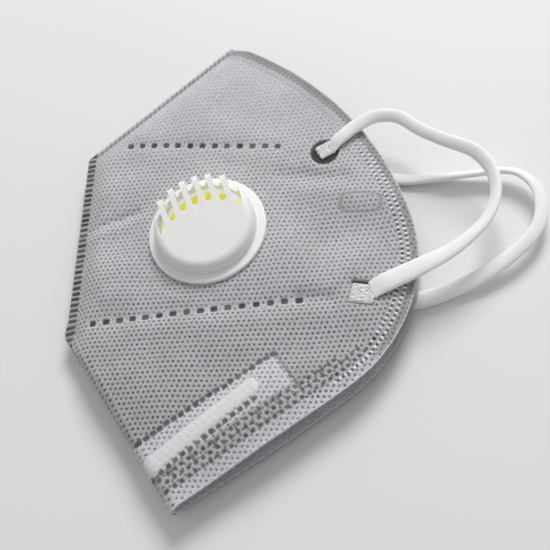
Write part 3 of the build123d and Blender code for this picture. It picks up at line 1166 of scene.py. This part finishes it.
# Points of each loop's path, from its chin weld to its nose weld: x, y, z and the band's lean in degrees.
RIGHT_LOOP = (
    (38.6, 25.6, 3.6, 0), (40.4, 27.2, 4.6, 4), (42.8, 29.1, 4.9, 8), (46.2, 31.6, 5.1, 14),
    (52.6, 34.3, 5.5, 24), (59.7, 32.9, 5.9, 30), (66.3, 26.8, 6.2, 30), (73.2, 21.9, 6.5, 28),
    (81.5, 16.6, 6.7, 34), (85.7, 9.2, 6.8, 44), (86.0, 0.6, 6.8, 44), (82.2, -7.6, 6.6, 30),
    (73.2, -15.2, 6.2, 12), (63.5, -19.8, 5.8, 2), (55.0, -23.0, 5.2, 0), (51.6, -24.2, 4.6, 0),
    (49.2, -25.0, 3.6, 0),
)
LEFT_LOOP = (
    (37.6, 24.6, -4.3, 0), (48.0, 19.4, -4.6, 0), (59.5, 16.5, -4.5, 6), (70.1, 15.3, -3.7, 35),
    (82.1, 14.7, -2.4, 50), (89.4, 14.2, -1.5, 50), (94.4, 12.0, -1.0, 42), (98.1, 7.1, -0.8, 30),
    (99.0, 0.6, -0.8, 20), (97.4, -6.0, -0.9, 14), (93.8, -10.8, -1.1, 10), (87.8, -15.7, -1.6, 6),
    (80.4, -20.0, -2.4, 4), (72.3, -23.1, -3.4, 2), (64.5, -25.1, -4.2, 0), (56.0, -25.6, -4.5, 0),
    (47.6, -25.6, -4.3, 0),
)


def band_mesh(name, keys, side):
    """A soft knitted band along a path, wider towards its nose weld and pinched at its ends."""
    path = relaxed(spline(keys, 0.45), 10)
    centre, lean = path[:, :3], np.radians(path[:, 3]) * side
    tangent = np.gradient(centre, axis=0)
    tangent /= np.linalg.norm(tangent, axis=1)[:, None]
    across = np.cross(np.array((0.0, 0.0, 1.0)), tangent)
    across /= np.linalg.norm(across, axis=1)[:, None]
    up = np.cross(tangent, across)
    wide = across * np.cos(lean)[:, None] + up * np.sin(lean)[:, None]
    thick = -across * np.sin(lean)[:, None] + up * np.cos(lean)[:, None]
    along = lengths(centre)
    total = along[-1]
    turn = np.linspace(0, 2 * math.pi, BAND_CORNERS, endpoint=False)
    to_end = np.minimum(along, total - along)
    pinch = ramp(to_end, 0, 6)
    spread = 1 + 0.5 * bell(total - along, 24.0)
    half_width = BAND_WIDTH / 2 * spread * (0.94 + 0.06 * pinch) * (1 + 0.04 * np.sin(along / 7.0))
    half_thick = BAND_THICKNESS / 2 * (0.3 + 0.7 * pinch)
    u = np.sign(np.cos(turn)) * np.abs(np.cos(turn)) ** 0.9
    v = np.sign(np.sin(turn)) * np.abs(np.sin(turn)) ** 0.9
    rib = 0.006 * np.cos(2 * math.pi * u * 4.0) * np.abs(v)
    points = (
        centre[:, None]
        + wide[:, None] * (half_width[:, None] * u)[..., None]
        + thick[:, None] * (half_thick[:, None] * v + rib * np.sign(v))[..., None]
    )
    ids = np.arange(len(centre) * BAND_CORNERS).reshape(-1, BAND_CORNERS)
    ahead = np.roll(ids, -1, axis=1)
    quads = np.stack([ids[:-1], ahead[:-1], ahead[1:], ids[1:]], axis=-1).reshape(-1, 4)
    caps = [ids[0][::-1][None], ids[-1][None]]
    place = (along[:, None], (u * BAND_WIDTH / 2)[None], (v * BAND_THICKNESS / 2)[None])
    surface = np.stack(np.broadcast_arrays(*place), axis=-1)
    return mesh_object(name, points.reshape(-1, 3), [quads] + caps, {"rest": surface.reshape(-1, 3)})


def ear_loop(side, keys):
    """A loop's band along its path, from its chin weld to its nose weld."""
    name = f"{SIDE_NAMES[side]}_ear_loop"
    obj = band_mesh(f"{name}_band", keys, side)
    joint = JOINTS[f"{SIDE_NAMES[side]}_loop_swing"]
    away = turned(unit(joint["axis"][:2]))
    away *= math.copysign(1, away[0])
    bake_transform(obj)
    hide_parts(name)
    return obj


END_COLUMNS, END_ROWS = 40, 52


def pressed_end(side, centre, direction, size):
    """Points, faces and pattern coordinates of one flattened, heat-pressed band end."""
    u, v = np.meshgrid(np.linspace(-1, 1, END_COLUMNS), np.linspace(-1, 1, END_ROWS))
    turn = np.column_stack([unit(direction), turned(unit(direction))])
    squeeze = 1 - 0.06 * np.abs(v) ** 3 * np.abs(u)
    plan = np.column_stack([(u * squeeze * size[0] / 2).ravel(), (v * size[1] / 2).ravel()]) @ turn.T
    ragged = 0.12 * np.sin(plan[:, 1] * 5.1 + plan[:, 0]) * (np.abs(u.ravel()) > 0.9)
    plan[:, 0] += ragged
    knurl = np.cos(u.ravel() * size[0] * 2.9) * np.cos(v.ravel() * size[1] * 2.7)
    creases = np.sin(u * 9.0 + 2.2 * np.sin(v * 5.0)) * np.sin(v * 8.0 + 1.7 * np.sin(u * 4.0 + 1.0))
    crown = (1 - np.clip(np.maximum(np.abs(u), np.abs(v)), 0, 1) ** 10).ravel()
    puff = 0.25 * ramp(u.ravel(), 0.3, 1.0) * (1 - v.ravel() ** 4)
    top = COVER_FACE - 0.16 + (0.5 + 0.11 * knurl + 0.16 * creases.ravel()) * crown + puff
    low = np.full(len(top), COVER_FACE - 0.34)
    upper = np.column_stack([plan + centre, side * top])
    lower = np.column_stack([plan + centre, side * low])
    ids, quads = grid_quads(END_ROWS, END_COLUMNS)
    rim = np.concatenate([ids[0, :-1], ids[:-1, -1], ids[-1, :0:-1], ids[:0:-1, 0]])
    shift = ids.size
    ahead = np.roll(rim, -1)
    walls = np.column_stack([rim, rim + shift, ahead + shift, ahead])
    faces = np.vstack([quads, quads[:, ::-1] + shift, walls])
    rest = np.column_stack([np.vstack([plan, plan]), np.zeros(2 * shift)])
    return np.vstack([upper, lower]), faces, rest


def loop_ends(side):
    """The two ends of a loop, pressed into the cover as one piece."""
    name = f"{SIDE_NAMES[side]}_ear_loop_ends"
    chin_direction = (1.0, 0.5) if side == RIGHT else (1.0, -0.3)
    parts = [
        pressed_end(side, CHIN_WELD + (0.2, 0.0), chin_direction, (5.4, 5.0)),
        pressed_end(side, NOSE_WELD + (0.5, 0.1), WELD_DIRECTION, (7.2, 6.0)),
    ]
    points = np.vstack([part[0] for part in parts])
    faces = np.vstack([parts[0][1], parts[1][1] + len(parts[0][0])])
    rest = np.vstack([part[2] for part in parts])
    obj = mesh_object(f"{name}_pressed", points, [faces], {"rest": rest}, side == LEFT)
    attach(obj, f"{SIDE_NAMES[side]}_centre")
    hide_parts(name)
    return obj


# ---------------------------------------------------------------- materials


class Graph:
    """Short calls for building one node material."""

    def __init__(self, name):
        self.material = bpy.data.materials.new(name)
        self.material.use_nodes = True
        self.nodes = self.material.node_tree.nodes
        self.links = self.material.node_tree.links
        self.shader = self.nodes["Principled BSDF"]

    def feed(self, socket, value):
        if isinstance(value, bpy.types.NodeSocket):
            self.links.new(value, socket)
        elif value is not None:
            socket.default_value = value

    def add(self, kind, inputs=None, output=0, **settings):
        node = self.nodes.new(kind)
        for key, value in settings.items():
            setattr(node, key, value)
        for key, value in (inputs or {}).items():
            self.feed(node.inputs[key], value)
        return node.outputs[output]

    def math(self, operation, a, b=None, c=None):
        return self.add("ShaderNodeMath", {0: a, 1: b, 2: c}, operation=operation)

    def vector(self, operation, a, b=None, output=0):
        return self.add("ShaderNodeVectorMath", {0: a, 1: b}, output, operation=operation)

    def field(self, name, output="Fac"):
        node = self.nodes.new("ShaderNodeAttribute")
        node.attribute_name = name
        return node.outputs[output]

    def noise(self, at, scale, detail=3.0, roughness=0.6, output=0):
        inputs = {"Vector": at, "Scale": scale, "Detail": detail, "Roughness": roughness}
        return self.add("ShaderNodeTexNoise", inputs, output)

    def remap(self, value, low, high, to_low=0.0, to_high=1.0, kind="SMOOTHSTEP"):
        inputs = {"Value": value, "From Min": low, "From Max": high, "To Min": to_low, "To Max": to_high}
        return self.add("ShaderNodeMapRange", inputs, interpolation_type=kind)

    def scaled(self, vector, amount):
        """A vector or colour times a number."""
        return self.add("ShaderNodeVectorMath", {0: vector, "Scale": amount}, operation="SCALE")

    def times(self, value, other, low, high, to_low, to_high):
        """value times other, which is first mapped from low..high to to_low..to_high."""
        return self.math("MULTIPLY", value, self.remap(other, low, high, to_low, to_high, "LINEAR"))

    def sum(self, value, other, share=1.0):
        return self.math("MULTIPLY_ADD", other, share, value)

    def streaks(self, at, angle, scale):
        """Fine fibres running one way."""
        mapping = self.nodes.new("ShaderNodeMapping")
        self.feed(mapping.inputs["Vector"], at)
        mapping.inputs["Rotation"].default_value[2] = math.radians(angle)
        mapping.inputs["Scale"].default_value = (scale * 0.16, scale, scale)
        return self.noise(mapping.outputs[0], 1.0, 2.0, 0.7)

    def finish(self, colour, roughness, bump=None, bump_mm=0.05, **inputs):
        self.feed(self.shader.inputs["Base Color"], colour)
        self.feed(self.shader.inputs["Roughness"], roughness)
        if bump is not None:
            node = self.nodes.new("ShaderNodeBump")
            node.inputs["Strength"].default_value = 1.0
            node.inputs["Distance"].default_value = bump_mm * MM
            self.feed(node.inputs["Height"], bump)
            self.feed(self.shader.inputs["Normal"], node.outputs[0])
        for key, value in inputs.items():
            self.feed(self.shader.inputs[key.replace("_", " ")], value)
        return self.material


def grey(level, tint):
    return tuple(level * share for share in tint)


COOL = (0.985, 0.985, 1.03)


def bonded_dots(graph, at):
    """Mask of the spunbond's bonding points in the shader, on the same lattice as the dimples."""
    wander = graph.vector("SUBTRACT", graph.noise(at, 0.9, 2.0, output=1), (0.5, 0.5, 0.5))
    at = graph.vector("ADD", at, graph.scaled(wander, 0.55))
    parts = []
    for step, weights in zip(DOT_STEPS, np.linalg.inv(DOT_STEPS).T):
        count = graph.vector("DOT_PRODUCT", at, (*weights, 0.0), "Value")
        part = graph.math("SUBTRACT", count, graph.math("ROUND", count))
        parts.append(graph.scaled((*step, 0.0), part))
    away = graph.vector("LENGTH", graph.vector("ADD", *parts), output="Value")
    return graph.remap(away, 0.2, 0.53, 1.0, 0.0)


def spunbond(name, level, dot_shade, tint=COOL, dots=True, marked=True, fuzz=1.0):
    """Nonwoven fabric of fine fibres, with darker pressed bonding points."""
    graph = Graph(name)
    at = graph.field("rest", "Vector")
    fibres = graph.math("ADD", graph.streaks(at, 28, 3.4), graph.streaks(at, -47, 4.2))
    fine = graph.noise(at, 2.6, 5.0, 0.75)
    cloud = graph.noise(at, 0.07, 3.0, 0.6)
    shade = graph.remap(fibres, 0.75, 1.25, 1 - 0.2 * fuzz, 1 + 0.2 * fuzz, "LINEAR")
    shade = graph.times(shade, cloud, 0.3, 0.7, 0.92, 1.06)
    shade = graph.times(shade, fine, 0.35, 0.65, 0.84, 1.16)
    height = graph.math("ADD", fibres, fine)
    roughness = 0.82
    if marked:
        shade = graph.math("MULTIPLY", shade, graph.field("tone"))
    if dots:
        mask = bonded_dots(graph, at)
        if marked:
            mask = graph.math("MULTIPLY", mask, graph.math("SUBTRACT", 1.0, graph.field("plain")))
        mask = graph.times(mask, graph.noise(at, 0.8, 2.0), 0.3, 0.7, 0.62, 1.0)
        shade = graph.times(shade, mask, 0, 1, 1.0, dot_shade)
        height = graph.sum(height, mask, -1.6)
        roughness = graph.remap(mask, 0, 1, 0.82, 0.5, "LINEAR")
    colour = graph.scaled(grey(level, tint), shade)
    return graph.finish(colour, roughness, height, 0.07, Sheen_Weight=0.25, Sheen_Roughness=0.5)


def knit():
    """Fine ribbed elastic: rows of small V stitches."""
    graph = Graph("knitted_elastic")
    at = graph.field("rest", "Vector")
    parts = graph.nodes.new("ShaderNodeSeparateXYZ")
    graph.feed(parts.inputs[0], at)
    along, across = parts.outputs[0], parts.outputs[1]
    wale = graph.math("PINGPONG", across, 0.31)
    course = graph.sum(graph.math("MULTIPLY", along, 1.7), wale, 1.6)
    stitch = graph.math("PINGPONG", course, 0.5)
    height = graph.sum(graph.remap(wale, 0, 0.31), stitch, 1.4)
    height = graph.sum(height, graph.noise(at, 9.0, 3.0, 0.7), 0.6)
    # Painted shade: the colour is a trace darker where the stitch height is low, in the hollows between
    # stitches.
    shade = graph.remap(height, 0.2, 2.0, 0.99, 1.0, "LINEAR")
    shade = graph.times(shade, graph.noise(at, 0.12, 2.0), 0.3, 0.7, 0.97, 1.02)
    colour = graph.scaled(grey(0.94, (1.0, 0.998, 0.993)), shade)
    return graph.finish(
        colour, 0.85, height, 0.018, Sheen_Weight=0.3, Subsurface_Weight=0.3, Subsurface_Radius=(0.002,) * 3
    )


CAP_RADIUS = 0.0148


def moulded(name, colour, roughness, glow, painted_glow=0.0):
    """Injection-moulded plastic: fine satin grain, a trace of flow marks and handling wear.

    The last argument sets a painted glow: emission within the cap's radius that stands in for the light that
    the thin cap lets through to what lies inside it.
    """
    graph = Graph(name)
    at = graph.add("ShaderNodeTexCoord", output="Object")
    from_axis = graph.vector("LENGTH", graph.vector("MULTIPLY", at, (1, 1, 0)), output="Value")
    # Painted glow: emission inside the cap's radius, in place of the light that comes through the thin cap.
    inside = graph.remap(from_axis, CAP_RADIUS, CAP_RADIUS + 0.0006, painted_glow, 0.0)
    grain = graph.noise(at, 9000.0, 3.0, 0.6)
    flow = graph.noise(at, 60.0, 4.0, 0.55)
    scuffs = graph.remap(graph.noise(at, 420.0, 5.0, 0.75), 0.56, 0.72)
    tone = graph.remap(flow, 0.3, 0.7, 0.97, 1.01, "LINEAR")
    surface_colour = graph.scaled(colour, tone)
    rough = graph.sum(roughness, scuffs, 0.14)
    height = graph.sum(grain, scuffs, -0.3)
    graph.finish(
        surface_colour, rough, height, 0.012, Specular_IOR_Level=0.45,
        Subsurface_Weight=glow, Subsurface_Radius=(0.006, 0.0055, 0.005),
        Emission_Color=(*colour, 1.0), Emission_Strength=inside,
    )
    through = graph.add("ShaderNodeBsdfTranslucent", {"Color": surface_colour})
    surface = graph.add("ShaderNodeMixShader", {0: 0.05, 1: graph.shader.outputs[0], 2: through})
    graph.links.new(surface, graph.nodes["Material Output"].inputs["Surface"])
    return graph.material


def clip_cover():
    """Soft white nonwoven over the nose clip."""
    graph = Graph("clip_cover")
    at = graph.field("rest", "Vector")
    fibres = graph.math("ADD", graph.streaks(at, 60, 5.0), graph.streaks(at, -20, 6.0))
    fine = graph.noise(at, 2.2, 4.0, 0.75)
    shade = graph.remap(fibres, 0.75, 1.25, 0.86, 1.1, "LINEAR")
    shade = graph.times(shade, fine, 0.35, 0.65, 0.93, 1.05)
    colour = graph.scaled(grey(0.78, (1.0, 1.0, 1.02)), shade)
    return graph.finish(colour, 0.7, graph.sum(fibres, fine), 0.06, Sheen_Weight=0.2)


def table_top():
    graph = Graph("table_top")
    at = graph.add("ShaderNodeTexCoord", output="Object")
    grain = graph.noise(at, 900.0, 4.0, 0.6)
    tone = graph.remap(graph.noise(at, 4.0, 2.0), 0.3, 0.7, 0.985, 1.01, "LINEAR")
    colour = graph.scaled((0.83, 0.825, 0.82), tone)
    return graph.finish(colour, 0.6, grain, 0.01, Specular_IOR_Level=0.25)


def paint(obj, material):
    obj.data.materials.clear()
    obj.data.materials.append(material)


# ---------------------------------------------------------------- build

LAYER_LOOKS = {
    "outer_cover": (spunbond("cover_spunbond", 0.54, 0.03), "cover"),
    "cotton_layer": (spunbond("cotton_wadding", 0.82, 1.0, (1, 1, 0.98), False, False, 1.4), "cotton"),
    "filter_layer": (spunbond("filter_web", 0.86, 1.0, (1, 1, 1), False, False, 0.5), "filter"),
    "inner_lining": (spunbond("lining_spunbond", 0.62, 0.9, COOL, True, False), "lining"),
}

for half in (RIGHT, LEFT):
    for panel_name in PANELS:
        for layer_name, (material, slot_name) in LAYER_LOOKS.items():
            if layer_name == "outer_cover":
                piece = cover_sheet(half, panel_name)
            else:
                piece = hidden_sheet(half, panel_name, layer_name)
            hang(piece, half, panel_name)
            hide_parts(f"{SIDE_NAMES[half]}_{panel_name}_{layer_name}")
            paint(piece, material)

weld_look = spunbond("welded_spunbond", 0.42, 0.5)
clip_look = clip_cover()
band_look = knit()
pressed_look = spunbond("pressed_elastic", 0.74, 0.7, (1, 1, 0.99), False, False, 1.6)
for piece in (front_strip(), chin_strip()):
    paint(piece, weld_look)
for half, loop_keys in ((RIGHT, RIGHT_LOOP), (LEFT, LEFT_LOOP)):
    paint(clip_arm(half), clip_look)
    paint(ear_loop(half, loop_keys), band_look)
    paint(loop_ends(half), pressed_look)

valve_look = moulded("valve_plastic", (0.97, 0.97, 0.96), 0.42, 0.75)
for node_name in ("valve_cap", "valve_retaining_ring"):
    paint(frame["nodes"][node_name], valve_look)
# The seat and the diaphragm get a painted glow within the cap's radius.
seat_look = moulded("valve_seat_plastic", (0.97, 0.97, 0.95), 0.42, 0.75, 0.25)
paint(frame["nodes"]["valve_seat"], seat_look)
diaphragm_look = moulded("diaphragm_silicone", (0.97, 0.90, 0.22), 0.35, 0.6, 0.16)
paint(frame["nodes"]["valve_diaphragm"], diaphragm_look)

# ---------------------------------------------------------------- stage, lights and camera

# The camera that took the photograph, with its place in millimetres.
CAMERA_AT = (71.82, -146.38, 239.10)
CAMERA_FORWARD = (-0.1873, 0.4740, -0.8604)
CAMERA_UP = (0.0859, 0.8804, 0.4663)
CAMERA_LENS = 61.2
CAMERA_SENSOR = 36.0
CAMERA_SHIFT = (0.004, -0.004)
FLOOR_HALF = 1600.0
ROOM_COLOUR = (0.98, 0.985, 1.0, 1.0)
ROOM_STRENGTH = 0.4
# Each light's name, place and size in metres, power in watts and colour; they point at the origin.
LIGHTS = (
    ("window", (0.22, 0.76, 0.68), 0.46, 8.0, (1.0, 0.995, 0.99)),
    ("ceiling", (-0.1, 0.2, 1.1), 1.2, 0.7, (1.0, 1.0, 1.0)),
)


def floor():
    """The table top, as part of the stage."""
    corners = np.array(((-1, -1), (1, -1), (1, 1), (-1, 1))) * FLOOR_HALF
    points = np.column_stack([corners, np.full(4, TABLE_Z)])
    obj = mesh_object("table", points, [np.array([[0, 1, 2, 3]])])
    paint(obj, table_top())


def area_light(name, at, size, power, colour):
    data = bpy.data.lights.new(name, "AREA")
    data.shape = "DISK"
    data.size = size
    data.energy = power
    data.color = colour
    obj = bpy.data.objects.new(name, data)
    obj.location = at
    obj.rotation_mode = "QUATERNION"
    obj.rotation_quaternion = (-Vector(at)).to_track_quat("-Z", "Y")
    bpy.context.scene.collection.objects.link(obj)


def studio_light():
    world = bpy.data.worlds.new("soft_room")
    world.use_nodes = True
    background = world.node_tree.nodes["Background"]
    background.inputs["Color"].default_value = ROOM_COLOUR
    background.inputs["Strength"].default_value = ROOM_STRENGTH
    bpy.context.scene.world = world
    for light in LIGHTS:
        area_light(*light)


def photo_camera():
    data = bpy.data.cameras.new("camera")
    data.lens = CAMERA_LENS
    data.sensor_width = CAMERA_SENSOR
    data.shift_x, data.shift_y = CAMERA_SHIFT
    data.clip_start = 0.01
    data.clip_end = 10.0
    obj = bpy.data.objects.new("camera", data)
    forward, up = Vector(CAMERA_FORWARD).normalized(), Vector(CAMERA_UP)
    right = forward.cross(up).normalized()
    axes = Matrix((right, right.cross(forward), -forward)).transposed()
    obj.matrix_world = Matrix.Translation(Vector(CAMERA_AT) * MM) @ axes.to_4x4()
    bpy.context.scene.collection.objects.link(obj)
    bpy.context.scene.camera = obj


floor()
studio_light()
photo_camera()
bpy.context.scene.view_settings.view_transform = "Standard"
